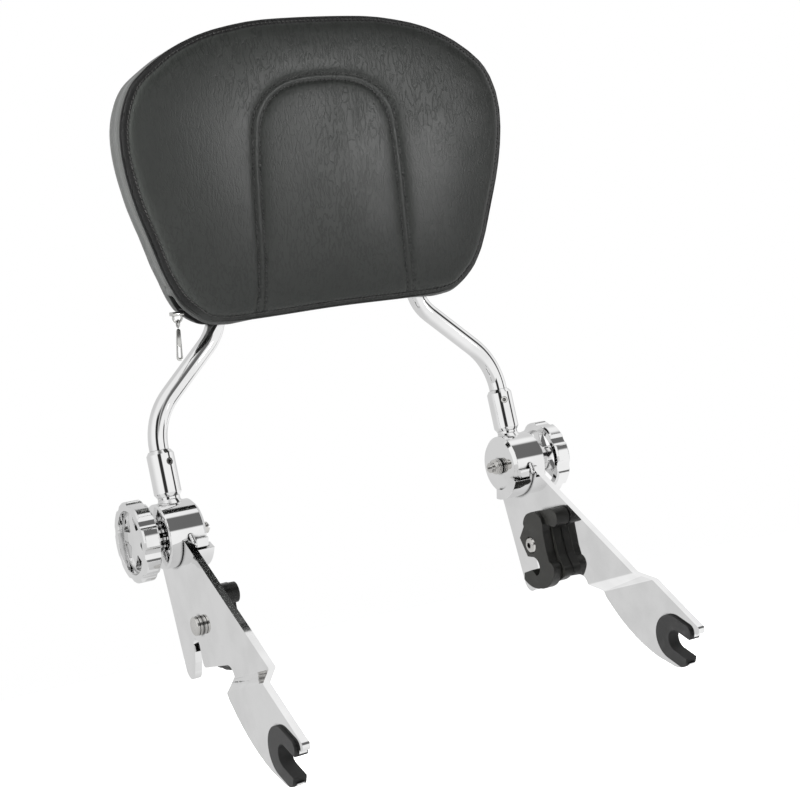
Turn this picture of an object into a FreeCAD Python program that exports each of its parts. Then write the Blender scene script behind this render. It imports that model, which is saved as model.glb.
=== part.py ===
import FreeCAD, Part
import math
import os
from FreeCAD import Vector

# Detachable motorcycle backrest: a padded hoop on two clamped tilt hubs, with
# side plates that hook over docking posts. Millimetres, X right, Y rearward, Z up.
# Everything is laid out round the tilt axis and moved to the front dock at the end.
# One side is written for the right hand and mirrored for the left.

# Fits
slack = 0.3            # between parts that move past each other
shaft_slack = 0.05     # radial, between a shaft and its hole
hair = 0.1             # between flat faces that turn on each other

# Hub drum and clamp
hub_mid = 132.6
drum_width = 26.0
drum_radius = 21.0
drum_chamfer_inner = 2.2
drum_chamfer_outer = 1.0
eye_radius = 16.3
bridge_start = 333.0   # the drum's bridge over the plate, degrees from rearward, through up
bridge_end = 559.0
lug_start = 195.0
lug_end = 209.0
lug_width = 8.0
lug_height = 3.0
lug_offset = 1.5       # lug's inboard side from the drum's inboard face
stud_radius = 5.0
stud_reach = 9.7       # past the drum's inboard face
stud_tip_radius = 3.7
stud_tip_length = 4.0
tilt_forward = 4.5
tilt_back = 25.0

# Stop cup on the side plate
cup_wall = 2.7
cup_start = 213.6
cup_end = 290.0
cup_lip_radius = 17.0
cup_lip = 2.5
cup_rim_start = 198.0
cup_rim_width = 2.7

# Neck, sleeve and set screw
neck_radius = 7.2
neck_flare = 9.6
sleeve_low = 24.0
sleeve_length = 30.0
sleeve_radius = 8.9
sleeve_chamfer = 2.4
spigot_length = 12.0
screw_radius = 2.4
screw_height = 46.0
screw_turn = 15.0      # towards the middle, from straight ahead
screw_socket = 1.3

# Upright hoop
bar_radius = 6.35
low_bend_height = 75.0
low_bend_radius = 45.0
entry_half_width = 77.0
entry_rearward = -3.0
entry_drop = 104.3     # below the pad's middle
entry_bend_radius = 30.0
hoop_top = 28.0        # crosspiece above the pad's middle, along the pad
hoop_corner_radius = 38.0

# Pad, in its own leaning plane through the front seam
pad_lean = 15.1
pad_mid_rearward = -59.3
pad_mid_height = 230.0
pad_half_width = 141.5
pad_top = 81.5
pad_bottom = -107.0
pad_depth = 46.0
pad_gusset = 30.0
pad_crown = 5.0
pad_sag = 5.5          # the lower corners hang lower behind the front seam
pad_step = 14.0
pad_round = 20.0
board_thick = 6.0
board_inset = 26.0
board_gap = 1.0        # behind the hoop

# Zipper
zip_half_length = 112.0
zip_up = -96.8         # the tape's top, along the pad, up inside its channel
zip_channel = 10.0     # across the channel
zip_depth = 12.0
zip_width = 9.0
zip_thick = 1.2
slider_length = 9.0
slider_width = 7.0
slider_thick = 4.0
slider_inset = 1.2     # its middle, from the zipper's left end
bail_radius = 3.0
bail_wire = 0.7
pull_ring_radius = 2.2
pull_length = 22.0
pull_width = 4.6
pull_thick = 1.2

# Knob and toothed ring
knob_radius = 26.0
knob_width = 11.0
knob_outer_face = 164.3
knob_lobes = 8
scallop_radius = 7.5
scallop_depth = 2.2
knob_rim = 6.0
knob_recess = 3.5
knob_web = 4.0
knob_boss_radius = 9.5
spokes = 5
spoke_width = 5.0
window_inner = 8.0
window_outer = 18.5
knob_round = 1.2
ring_width = 4.4
ring_radius = 9.6
ring_root = 8.0
ring_teeth = 12

# Side plate
plate_inner_face = 132.2
plate_thick = 4.8
plate_reach = 153.5    # from the tilt axis to the plate's lowest point, the outline's unit
joggle_offset = 8.8
joggle_upper = 97.3    # along the joggle's own direction
joggle_lower = 104.8
joggle_slope = 5.1     # degrees
joggle_round = 2.0
dock_slot_mid = -7.5
dock_slot_half = 5.0
dock_slot_top = -67.5

# Front notch and its rubber
notch_y = -130.5
notch_z = -135.5
notch_turn = 210.0     # the way the mouth points, degrees from rearward
throat_radius = 7.0
rubber_web = 3.0
rubber_outer = 15.2
rubber_shift = 4.5
rubber_reach = 12.0
rubber_lip = 1.9

# Latch, round its pivot screw
pivot_y = -20.5
pivot_z = -59.2
latch_face = 118.0
hook_depth = 7.0
latch_reach = 31.2     # from the pivot to the hook's lowest point
latch_screw_radius = 3.0
latch_head_radius = 5.6
latch_head = 2.6
latch_head_sink = 1.0
latch_socket = 1.9
latch_stud_radius = 6.1
latch_stud_head = 4.5
thumb_radius = 6.4
thumb_forward = -27.5
thumb_up = 16.4
thumb_inset = 3.0      # behind the hook's face
base_top = 12.0
spring_radius = 5.3
spring_wire = 0.5
spring_gap = 25.0      # degrees, from rearward to each leg
spring_leg = 1.2
spring_pocket = 7.0
spring_room = 3.0

bar_clear = bar_radius + shaft_slack
drum_in = hub_mid - drum_width / 2
drum_out = hub_mid + drum_width / 2
plate_outer_face = plate_inner_face + plate_thick
knob_in = knob_outer_face - knob_width
ring_in = drum_out + hair
lean = math.radians(pad_lean)
pad_up = Vector(0, -math.sin(lean), math.cos(lean))
pad_back = Vector(0, math.cos(lean), math.sin(lean))
pad_origin = Vector(0, pad_mid_rearward, pad_mid_height)
entry_height = pad_mid_height - entry_drop
slider_rest = slider_inset - zip_half_length
dock = Vector(0, -notch_y, -notch_z)


def polar(radius, degrees, y=0.0, z=0.0):
    turn = math.radians(degrees)
    return (y + radius * math.cos(turn), z + radius * math.sin(turn))


def rod(radius, low, high, y=0.0, z=0.0):
    return Part.makeCylinder(radius, high - low, Vector(low, y, z), Vector(1, 0, 0))


# A closed outline: plain points are joined by lines, and a pair (middle, end) by an arc.
def outline(steps, place):
    edges = []
    here = steps[0]
    for step in steps[1:] + [steps[0]]:
        if isinstance(step[0], tuple):
            middle, end = step
            edges.append(Part.Arc(place(here), place(middle), place(end)).toShape())
            here = end
        elif step != here:
            edges.append(Part.makeLine(place(here), place(step)))
            here = step
    return Part.Wire(edges)


# A slab along X between low and high, with its outline given as (y, z).
def slab(steps, low, high):
    wire = outline(steps, lambda point: Vector(low, point[0], point[1]))
    return Part.Face(wire).extrude(Vector(high - low, 0, 0))


def sector(inner, outer, start, end, low, high):
    middle = (start + end) / 2
    steps = [polar(inner, start), polar(outer, start), (polar(outer, middle), polar(outer, end)),
             polar(inner, end), (polar(inner, middle), polar(inner, start))]
    return slab(steps, low, high)


# Steps given in parts of a size, brought to that size round (y, z).
def sized(steps, size, y=0.0, z=0.0):
    placed = []
    for step in steps:
        if isinstance(step[0], tuple):
            placed.append(tuple((point[0] * size + y, point[1] * size + z) for point in step))
        else:
            placed.append((step[0] * size + y, step[1] * size + z))
    return placed


def revolve_x(points, y=0.0, z=0.0):
    corners = [Vector(along, y + radius, z) for along, radius in points]
    face = Part.Face(Part.makePolygon(corners + corners[:1]))
    return face.revolve(Vector(0, y, z), Vector(1, 0, 0), 360)


def revolve_z(points, x):
    corners = [Vector(x + radius, 0, height) for height, radius in points]
    face = Part.Face(Part.makePolygon(corners + corners[:1]))
    return face.revolve(Vector(x, 0, 0), Vector(0, 0, 1), 360)


def hexagon(across, low, high, y, z):
    points = [polar(across / math.sqrt(3), 60 * side, y, z) for side in range(6)]
    return slab(points, low, high)


# A path of straight runs joined by tangent arcs of the given radii.
def bent_path(corners, radii):
    edges = []
    start = corners[0]
    for index, radius in enumerate(radii):
        corner = corners[index + 1]
        into = (corner - corners[index]).normalize()
        away = (corners[index + 2] - corner).normalize()
        turn = into.getAngle(away)
        reach = radius * math.tan(turn / 2)
        first = corner - into * reach
        last = corner + away * reach
        inward = (away - into).normalize()
        middle = corner + inward * (radius / math.cos(turn / 2) - radius)
        edges.append(Part.makeLine(start, first))
        edges.append(Part.Arc(first, middle, last).toShape())
        start = last
    edges.append(Part.makeLine(start, corners[-1]))
    return Part.Wire(edges)


def tube(path, radius):
    start = path.Edges[0]
    ring = Part.Wire(Part.makeCircle(radius, start.valueAt(start.FirstParameter),
                                     start.tangentAt(start.FirstParameter)))
    return path.makePipeShell([ring], True, False)


# Hub

def hub_drum():
    drum = rod(drum_radius, drum_in, drum_out)
    inner_rim = [edge for edge in drum.Edges if edge.Closed and edge.BoundBox.XMax < hub_mid]
    drum = drum.makeChamfer(drum_chamfer_inner, inner_rim)
    outer_rim = [edge for edge in drum.Edges if edge.Closed and edge.BoundBox.XMin > hub_mid]
    drum = drum.makeChamfer(drum_chamfer_outer, outer_rim)
    root = drum_radius - drum_radius / 8
    stem = revolve_z([(0, 0), (0, neck_flare), (root, neck_flare), (drum_radius + 1, neck_radius),
                      (sleeve_low, neck_radius), (sleeve_low, bar_radius),
                      (sleeve_low + spigot_length, bar_radius), (sleeve_low + spigot_length, 0)],
                     hub_mid)
    lug_low = drum_in + lug_offset
    lug = sector(drum_radius - lug_height, drum_radius + lug_height, lug_start, lug_end,
                 lug_low, lug_low + lug_width)
    body = drum.fuse([stem, lug])
    slot_low = plate_inner_face - slack
    slot_high = plate_outer_face + slack
    eye_room = rod(eye_radius + slack, slot_low, slot_high)
    gap = sector(1, drum_radius + 2, bridge_end - 360, bridge_start, slot_low, slot_high)
    bore = rod(stud_radius + shaft_slack, drum_in - 1, drum_out + 1)
    return body.cut([eye_room, gap, bore]).removeSplitter()


def clamp_stud():
    tip = drum_in - stud_reach
    neck = tip + stud_tip_length
    end = knob_outer_face - knob_recess - 1
    blank = revolve_x([(tip, 0), (tip, stud_tip_radius - 1.4), (tip + 1.2, stud_tip_radius),
                       (neck, stud_tip_radius), (neck + 0.8, stud_radius), (end, stud_radius), (end, 0)])
    slot = Part.makeBox(2.0, 2 * stud_radius, 1.2, Vector(tip - 0.5, -stud_radius, -0.6))
    return blank.cut(slot)


def toothed_ring():
    points = []
    pitch = 360.0 / ring_teeth
    for tooth in range(ring_teeth):
        turn = tooth * pitch
        points += [polar(ring_root, turn), polar(ring_radius, turn + 0.2 * pitch),
                   polar(ring_radius, turn + 0.55 * pitch), polar(ring_root, turn + 0.75 * pitch)]
    blank = slab(points, ring_in, ring_in + ring_width - hair)
    mid = ring_in + ring_width / 2
    groove = rod(ring_radius + 1, mid - 0.4, mid + 0.4).cut(rod(ring_root - 0.4, mid - 1, mid + 1))
    return blank.cut([groove, rod(stud_radius + shaft_slack, ring_in - 1, mid + ring_width)])


def knob():
    boss_low = ring_in + ring_width
    web_out = knob_outer_face - knob_recess
    web_in = web_out - knob_web
    inside = knob_radius - knob_rim
    blank = revolve_x([(boss_low, 0), (boss_low, knob_boss_radius), (web_in, knob_boss_radius),
                       (web_in, inside), (knob_in, inside + 0.6), (knob_in, knob_radius - knob_round),
                       (knob_in + knob_round, knob_radius), (knob_outer_face - knob_round, knob_radius),
                       (knob_outer_face, knob_radius - knob_round), (knob_outer_face, inside + 0.6),
                       (web_out, inside), (web_out, 0)])
    cuts = [rod(stud_radius + shaft_slack, boss_low - 1, web_out - 1 + hair)]
    for lobe in range(knob_lobes):
        y, z = polar(knob_radius + scallop_radius - scallop_depth, (lobe + 0.5) * 360 / knob_lobes)
        cuts.append(rod(scallop_radius, knob_in - 1, knob_outer_face + 1, y, z))
    for window in range(spokes):
        middle = 90 + (window + 0.5) * 360 / spokes
        half = 180 / spokes - math.degrees(math.asin(spoke_width / 2 / window_outer))
        steps = [polar(window_inner, middle), polar(window_outer, middle - half),
                 (polar(window_outer, middle), polar(window_outer, middle + half))]
        hole = slab(steps, web_in - 1, web_out + 1)
        corners = [edge for edge in hole.Edges if edge.BoundBox.XLength > knob_web
                   and edge.BoundBox.YLength < 0.01]
        cuts.append(hole.makeFillet(knob_round, corners))
    return blank.cut(cuts)


# Side plate, cup, notch rubber

def bent_sheet():
    turn = math.radians(180 - joggle_slope)
    along = Vector(0, math.cos(turn), math.sin(turn))
    down = Vector(0, -along.z, along.y)
    inner = [(-0.4 * plate_reach, 0), (joggle_upper, 0), (joggle_lower, joggle_offset),
             (1.7 * plate_reach, joggle_offset)]
    rim = inner + [(t, u + plate_thick) for t, u in reversed(inner)]
    start = along * -plate_reach
    corners = [start + down * t + Vector(plate_inner_face + u, 0, 0) for t, u in rim]
    block = Part.Face(Part.makePolygon(corners + corners[:1])).extrude(along * 2.6 * plate_reach)
    bends = []
    for edge in block.Edges:
        middle = edge.CenterOfMass
        depth = (middle - start).dot(down)
        if edge.Length > 2 * plate_reach and -0.3 * plate_reach < depth < 1.6 * plate_reach:
            bends.append(edge)
    return block.makeFillet(joggle_round, bends)


def notch(radius, shift, reach, low, high):
    way = polar(1, notch_turn)
    side = polar(1, notch_turn + 90)
    middle = (notch_y - way[0] * shift, notch_z - way[1] * shift)
    back = (middle[0] - way[0] * radius, middle[1] - way[1] * radius)
    left = (middle[0] + side[0] * radius, middle[1] + side[1] * radius)
    right = (middle[0] - side[0] * radius, middle[1] - side[1] * radius)
    far = shift + reach
    left_end = (left[0] + way[0] * far, left[1] + way[1] * far)
    right_end = (right[0] + way[0] * far, right[1] + way[1] * far)
    return slab([left_end, left, (back, right), right_end], low, high)


def side_plate():
    slot_rear = dock_slot_mid + dock_slot_half
    slot_front = dock_slot_mid - dock_slot_half
    slot_low = dock_slot_top - dock_slot_half
    foot = slot_low - 0.068 * plate_reach
    rear = sized([(0, 0), (0.1173, -0.07622), (0.1596, -0.101), (0.1368, -0.3388), (0.1173, -0.5603),
                  ((0.07166, -0.6085), (0.02606, -0.5765))],
                 plate_reach)
    slot = [(slot_rear + 0.02 * plate_reach, foot), (slot_rear, slot_low - 0.023 * plate_reach),
            (slot_rear, slot_low), ((dock_slot_mid, dock_slot_top), (slot_front, slot_low)),
            (slot_front, foot),
            ((slot_front - 0.0065 * plate_reach, foot - 0.0156 * plate_reach),
             (slot_front - 0.0221 * plate_reach, foot - 0.0208 * plate_reach))]
    front = sized([(-0.329, -0.5537), ((-0.3622, -0.5668), (-0.3779, -0.6059)), (-0.4078, -0.6423),
                   ((-0.413, -0.671), (-0.43, -0.6971)), ((-0.5342, -0.8274), (-0.6906, -0.9479)),
                   (-0.7752, -0.9863), ((-0.8436, -1), (-0.9055, -0.9772)), (-0.9707, -0.858),
                   ((-1, -0.8534), (-0.9993, -0.8313)), (-0.1342, -0.03257)],
                  plate_reach)
    steps = rear + slot + front
    shape = slab(steps, plate_inner_face - 20, plate_outer_face + 20)
    eye = rod(eye_radius, plate_inner_face - 20, plate_outer_face + 20)
    ring = sector(eye_radius, drum_radius + slack, bridge_start - tilt_back - 6, bridge_end + tilt_forward + 2,
                  plate_inner_face - 21, plate_outer_face + 21)
    hole = rod(stud_radius + shaft_slack, drum_in, drum_out)
    screw_hole = rod(latch_screw_radius + shaft_slack, drum_in, drum_out, pivot_y, pivot_z)
    mouth = notch(throat_radius + rubber_web, 0, 60, plate_inner_face - 20, plate_outer_face + 20)
    plate = shape.cut(ring).fuse(eye).common(bent_sheet())
    return plate.cut([hole, screw_hole, mouth]).removeSplitter()


def stop_cup():
    low = drum_in - slack - cup_lip
    inner = drum_radius + slack
    outer = inner + cup_wall
    wall = sector(inner, outer, cup_start, cup_end, low, plate_inner_face)
    lip = sector(cup_lip_radius, inner + 0.5, cup_start, cup_end, low, low + cup_lip)
    rim = sector(inner, outer, cup_rim_start, cup_start + 1, plate_inner_face - cup_rim_width,
                 plate_inner_face)
    return wall.fuse([lip, rim]).removeSplitter()


def notch_rubber(plate):
    low = plate_inner_face + joggle_offset - rubber_lip
    high = plate_outer_face + joggle_offset + rubber_lip
    whole = notch(rubber_outer, rubber_shift, rubber_reach, low, high)
    corners = [edge for edge in whole.Edges if edge.BoundBox.XLength > high - low - 0.1
               and abs(edge.Length - (high - low)) < 0.1]
    way = polar(1, notch_turn)
    ends = [edge for edge in corners
            if (edge.CenterOfMass.y - notch_y) * way[0] + (edge.CenterOfMass.z - notch_z) * way[1] > 1]
    rounded = whole.makeFillet(rubber_outer - throat_radius - 3.0, ends)
    return rounded.cut([notch(throat_radius, 0, 60, low - 1, high + 1), plate])


# Sleeve and hoop

def sleeve():
    high = sleeve_low + sleeve_length
    slim = sleeve_radius - 1.6
    blank = revolve_z([(sleeve_low, bar_clear), (sleeve_low, slim),
                       (sleeve_low + sleeve_chamfer, sleeve_radius), (high - sleeve_chamfer, sleeve_radius),
                       (high, slim), (high, bar_clear)], hub_mid)
    return blank.cut(screw_rod(screw_radius + shaft_slack, bar_radius - 1, sleeve_radius + 1))


def screw_rod(radius, inner, outer):
    way = Vector(-math.sin(math.radians(screw_turn)), -math.cos(math.radians(screw_turn)), 0)
    middle = Vector(hub_mid, 0, screw_height)
    return Part.makeCylinder(radius, outer - inner, middle + way * inner, way)


def sleeve_screw():
    outer = sleeve_radius - 0.6
    body = screw_rod(screw_radius, bar_clear + 0.05, outer)
    return body.cut(screw_rod(screw_socket, outer - 1.2, outer + 1))


def hoop_path():
    foot = Vector(hub_mid, 0, sleeve_low + spigot_length + 0.2)
    bend = Vector(hub_mid, 0, low_bend_height)
    entry = Vector(entry_half_width, entry_rearward, entry_height)
    top = entry + pad_up * ((pad_origin + pad_up * hoop_top - entry).dot(pad_up))
    right = [foot, bend, entry, top]
    left = [Vector(-point.x, point.y, point.z) for point in reversed(right)]
    radii = [low_bend_radius, entry_bend_radius, hoop_corner_radius]
    return bent_path(right + left, radii + radii[::-1])


# Pad

def pad_outline(inset, depth, sag=0.0):
    wide = (pad_half_width - inset) / pad_half_width
    tall = (pad_top - pad_bottom - 2 * inset) / (pad_top - pad_bottom)
    middle = (pad_top + pad_bottom) / 2

    def place(point):
        along = point[0] * pad_half_width * wide
        drop = sag * max(0.0, -point[1]) ** 2 * min(1.0, abs(point[0]) / 0.55) ** 2
        up = middle + (point[1] * (pad_top - pad_bottom) / 2) * tall - drop
        return pad_origin + Vector(along, 0, 0) + pad_up * up + pad_back * depth

    right = [((0.34, 0.978), (0.671, 0.862)), ((0.905, 0.638), (1.0, 0.217)),
             ((0.968, -0.145), (0.855, -0.65)), ((0.749, -0.899), (0.58, -1.0))]
    left = [((-0.749, -0.899), (-0.855, -0.65)), ((-0.968, -0.145), (-1.0, 0.217)),
            ((-0.905, 0.638), (-0.671, 0.862)), ((-0.34, 0.978), (0.0, 1.0))]
    bottom = [(0.4, -1.0), (0.2, -1.0), (-0.2, -1.0), (-0.4, -1.0), (-0.58, -1.0)]
    return outline([(0.0, 1.0)] + right + bottom + left, place)


def pad_cushion(hoop_room, board):
    behind = zip_depth - zip_channel / 2
    round_depth = pad_gusset + 0.65 * (pad_depth - pad_gusset)
    rows = [(1.86 * pad_step, -pad_crown, 0), (pad_step, 0.6 - pad_crown, 0), (pad_step / 3, -1.6, 0), (0, 0, 0),
            (0, behind, 0.35 * pad_sag), (0, zip_depth, pad_sag), (0, pad_gusset, pad_sag),
            (pad_round * 0.35, round_depth, pad_sag), (pad_round, pad_depth, pad_sag / 2)]
    wires = [pad_outline(inset, depth, sag) for inset, depth, sag in rows]
    channel = pad_block(3 * pad_half_width, zip_channel, pad_half_width, 0, zip_up, zip_depth)
    return Part.makeLoft(wires, True, True).cut([hoop_room, board, channel])


def pad_board():
    depth = (Vector(0, entry_rearward, entry_height) - pad_origin).dot(pad_back)
    front = depth + bar_radius + board_gap
    wire = pad_outline(board_inset, front)
    return Part.Face(wire).extrude(pad_back * board_thick)


# Zipper along the pad's bottom, in the pad's leaning frame

def pad_block(length, width, thick, along, up, depth):
    corner = pad_origin + pad_up * (up - thick) + pad_back * (depth - width / 2)
    corner = corner + Vector(along - length / 2, 0, 0)
    ends = [corner, corner + pad_up * thick, corner + pad_up * thick + pad_back * width,
            corner + pad_back * width]
    return Part.Face(Part.makePolygon(ends + ends[:1])).extrude(Vector(length, 0, 0))


def zipper_tape():
    return pad_block(2 * zip_half_length, zip_width, zip_thick, 0, zip_up, zip_depth)


def zipper_slider():
    top = zip_up - zip_thick - hair
    body = pad_block(slider_length, slider_width, slider_thick, slider_rest, top, zip_depth)
    upright = [edge for edge in body.Edges if abs(edge.Length - slider_thick) < 0.01]
    body = body.makeFillet(slider_width / 4, upright)
    middle = pad_origin + pad_up * (top - slider_thick) + pad_back * zip_depth + Vector(slider_rest, 0, 0)
    return body.fuse(Part.makeTorus(bail_radius, bail_wire, middle, pad_back))


def zipper_pull():
    bail_low = zip_up - zip_thick - hair - slider_thick - bail_radius
    wire = pad_origin + pad_up * bail_low + pad_back * zip_depth + Vector(slider_rest, 0, 0)
    hole = pull_ring_radius - bail_wire
    low = wire.x - pull_thick / 2
    high = wire.x + pull_thick / 2
    ring_z = wire.z + bail_wire + hair - hole
    ring = rod(pull_ring_radius + bail_wire, low, high, wire.y, ring_z)
    ring = ring.cut(rod(hole, low - 1, high + 1, wire.y, ring_z))
    top = ring_z - pull_ring_radius
    plate = Part.makeBox(pull_width, pull_thick, pull_length,
                         Vector(wire.x - pull_width / 2, wire.y - pull_thick / 2, top - pull_length))
    upright = [edge for edge in plate.Edges if abs(edge.Length - pull_thick) < 0.01]
    return plate.makeFillet(pull_width / 2 - 0.2, upright).fuse(ring)


# Latch

# Outlines round the pivot, in parts of the latch's reach
hook_face = [(0.1314, 0.4359), (0.1314, 0.5096), ((0.009615, 0.6538), (-0.1987, 0.7212)),
             ((-0.4295, 0.7019), (-0.5962, 0.5577)), (-0.6186, 0.4231), (-0.5705, 0.2724),
             (-0.5513, -0.2051), (-0.5769, -0.4327), ((-0.6923, -0.625), (-0.6378, -0.7436)),
             ((-0.3686, -0.9615), (-0.02885, -1)), ((0.3045, -0.9359), (0.5545, -0.75)),
             (0.4904, -0.6026), (0.1635, -0.5609), ((0.1026, -0.6218), (0.03846, -0.7051)),
             ((-0.1667, -0.4872), (0.05128, -0.2692)), (0.2179, -0.2436), (0.3494, 0.1154),
             (0.3782, 0.1955)]
base_side = [(0.3782, 0.07051), (0.5, 0.07692), ((0.5865, 0.01282), (0.5417, -0.1442)), (0.1923, -0.2981),
             (0.03205, -0.2885), ((-0.2115, -0.4872), (0.01603, -0.7051)), (0.03205, -0.8333),
             ((-0.2885, -0.9103), (-0.641, -0.8333)), ((-0.7628, -0.7532), (-0.7436, -0.5929)),
             (-0.6474, -0.3205), (-0.6218, 0.3846)]


def latch_hook():
    face = latch_face
    back = face + hook_depth
    blank = slab(sized(hook_face, latch_reach, pivot_y, pivot_z), face, back)
    thumb_end = plate_inner_face - slack
    tip_y = pivot_y + thumb_forward
    tip_z = pivot_z + thumb_up
    steps = sized([(-0.609, 0.4135), (0.1282, 0.4359), (0.1314, 0.5096), ((0.0096, 0.6538), (-0.1987, 0.7212))],
                  latch_reach, pivot_y, pivot_z)
    steps.append((tip_y, tip_z + thumb_radius))
    steps.append(((tip_y - thumb_radius, tip_z), (tip_y, tip_z - thumb_radius)))
    thumb = slab(steps, face + thumb_inset, thumb_end)
    thumb = thumb.cut(rod(base_top + 1.0, face + hook_depth, thumb_end + 1, pivot_y, pivot_z))
    bore = rod(latch_screw_radius + shaft_slack, face - 1, back + 1, pivot_y, pivot_z)
    seat = rod(latch_head_radius + slack, face - 1, face + latch_head_sink, pivot_y, pivot_z)
    pocket = rod(spring_pocket, back - spring_room, back + 1, pivot_y, pivot_z)
    return blank.fuse(thumb).cut([bore, seat, pocket]).removeSplitter()


def latch_base():
    low = latch_face + hook_depth + slack
    top = (pivot_y, pivot_z + base_top)
    arc = (polar(base_top, 45, pivot_y, pivot_z), polar(base_top, 10, pivot_y, pivot_z))
    steps = sized(base_side, latch_reach, pivot_y, pivot_z) + [top, arc]
    blank = slab(steps, low, plate_inner_face)
    return blank.cut(rod(latch_screw_radius + shaft_slack, low - 1, plate_inner_face + 1, pivot_y, pivot_z))


def latch_screw():
    seat = latch_face + latch_head_sink - hair
    top = seat - latch_head
    end = plate_outer_face + latch_stud_head - 1.5
    blank = revolve_x([(top, 0), (top, latch_head_radius - 2.0), (top + 0.8, latch_head_radius - 0.7),
                       (seat - 0.6, latch_head_radius), (seat, latch_head_radius),
                       (seat, latch_screw_radius), (end, latch_screw_radius), (end, 0)], pivot_y, pivot_z)
    return blank.cut(hexagon(2 * latch_socket, top - 1, top + 1.4, pivot_y, pivot_z))


def latch_stud():
    face = plate_outer_face
    blank = revolve_x([(face, 0), (face, latch_stud_radius), (face + latch_stud_head - 0.5, latch_stud_radius),
                       (face + latch_stud_head, latch_stud_radius - 0.5), (face + latch_stud_head, 0)],
                      pivot_y, pivot_z)
    hole = rod(latch_screw_radius + shaft_slack, face - 1, face + latch_stud_head - 1.4, pivot_y, pivot_z)
    mid = face + latch_stud_head * 0.55
    groove = rod(latch_stud_radius + 1, mid - 0.3, mid + 0.3, pivot_y, pivot_z)
    groove = groove.cut(rod(latch_stud_radius - 0.5, mid - 1, mid + 1, pivot_y, pivot_z))
    return blank.cut([hole, groove])


def latch_spring():
    depth = latch_face + hook_depth - spring_room / 2
    low = depth - spring_wire
    high = depth + spring_wire
    inner = spring_radius - spring_wire
    outer = spring_radius + spring_wire
    ring = sector(inner, outer, spring_gap, 360 - spring_gap, low, high)
    leg_turn = math.degrees(2 * spring_wire / spring_radius)
    legs = [sector(inner, outer + spring_leg, start, start + leg_turn, low, high)
            for start in (spring_gap, 360 - spring_gap - leg_turn)]
    spring = ring.fuse(legs).removeSplitter()
    spring.translate(Vector(0, pivot_y, pivot_z))
    return spring


parts = {}
path = hoop_path()
parts["upright_hoop"] = tube(path, bar_radius)
parts["pad_backboard"] = pad_board()
parts["pad_cushion"] = pad_cushion(tube(path, bar_radius + shaft_slack), parts["pad_backboard"])
parts["zipper_tape"] = zipper_tape()
parts["zipper_slider"] = zipper_slider()
parts["zipper_pull"] = zipper_pull()

plate = side_plate()
side_parts = {
    "hub_drum": hub_drum(), "clamp_stud": clamp_stud(), "lock_ring": toothed_ring(), "knob": knob(),
    "sleeve": sleeve(), "sleeve_screw": sleeve_screw(), "side_plate": plate, "stop_cup": stop_cup(),
    "notch_rubber": notch_rubber(plate), "latch_hook": latch_hook(), "latch_base": latch_base(),
    "latch_screw": latch_screw(), "latch_stud": latch_stud(), "latch_spring": latch_spring()}
for name, shape in side_parts.items():
    parts["right_" + name] = shape
    parts["left_" + name] = shape.mirror(Vector(0, 0, 0), Vector(1, 0, 0))

os.makedirs("parts", exist_ok=True)
for name, shape in parts.items():
    placed = shape.copy()
    placed.translate(dock)
    if not placed.isValid() or len(placed.Solids) != 1:
        print("check", name, placed.isValid(), len(placed.Solids))
    placed.exportStep("parts/" + name + ".step")
print(len(parts), "parts written")
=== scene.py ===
import math
import random

import bmesh
import bpy
import numpy as np
from mathutils import Matrix, Vector
from mathutils.bvhtree import BVHTree


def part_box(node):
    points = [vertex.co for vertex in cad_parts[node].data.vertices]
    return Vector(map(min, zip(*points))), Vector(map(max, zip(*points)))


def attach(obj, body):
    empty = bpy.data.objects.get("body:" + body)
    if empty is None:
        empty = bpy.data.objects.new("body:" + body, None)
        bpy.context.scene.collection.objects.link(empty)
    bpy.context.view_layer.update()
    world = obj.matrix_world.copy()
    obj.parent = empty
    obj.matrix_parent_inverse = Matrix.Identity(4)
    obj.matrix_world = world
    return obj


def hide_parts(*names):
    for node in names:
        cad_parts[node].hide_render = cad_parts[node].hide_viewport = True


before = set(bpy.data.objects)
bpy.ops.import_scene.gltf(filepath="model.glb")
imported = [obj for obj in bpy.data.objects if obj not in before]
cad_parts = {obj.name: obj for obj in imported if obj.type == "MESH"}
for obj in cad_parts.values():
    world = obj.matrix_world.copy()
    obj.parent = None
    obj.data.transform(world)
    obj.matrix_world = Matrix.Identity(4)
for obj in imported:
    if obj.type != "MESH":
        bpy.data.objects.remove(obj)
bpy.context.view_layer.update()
print("frame loaded:", len(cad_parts), "nodes")

mm = 0.001


# Selecting and editing

def selectOnly(*pieces):
    bpy.ops.object.select_all(action="DESELECT")
    for piece in pieces:
        piece.select_set(True)
    bpy.context.view_layer.objects.active = pieces[0]


def named(name):
    # names the active piece
    piece = bpy.context.object
    piece.name = name
    piece.data.name = name
    return piece


def startEdit(piece):
    selectOnly(piece)
    bpy.ops.object.mode_set(mode="EDIT")
    bpy.ops.mesh.select_all(action="SELECT")


def endEdit():
    bpy.ops.object.mode_set(mode="OBJECT")


def pick(kind, test):
    # in edit mode, selects the edges or faces that pass the test
    bpy.ops.mesh.select_mode(type=kind)
    bpy.ops.mesh.select_all(action="DESELECT")
    shape = bmesh.from_edit_mesh(bpy.context.edit_object.data)
    for item in {"EDGE": shape.edges, "FACE": shape.faces}[kind]:
        if test(item):
            item.select_set(True)
    shape.select_flush(True)
    bmesh.update_edit_mesh(bpy.context.edit_object.data)


def faceOut():
    # in edit mode, turns every face outwards
    bpy.ops.mesh.select_all(action="SELECT")
    bpy.ops.mesh.normals_make_consistent(inside=False)


def startBlock(name, size):
    # a box of this size in millimetres, left in edit mode
    bpy.ops.mesh.primitive_cube_add(size=1)
    block = named(name)
    startEdit(block)
    bpy.ops.transform.resize(value=tuple(length * mm for length in size))
    return block


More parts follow.
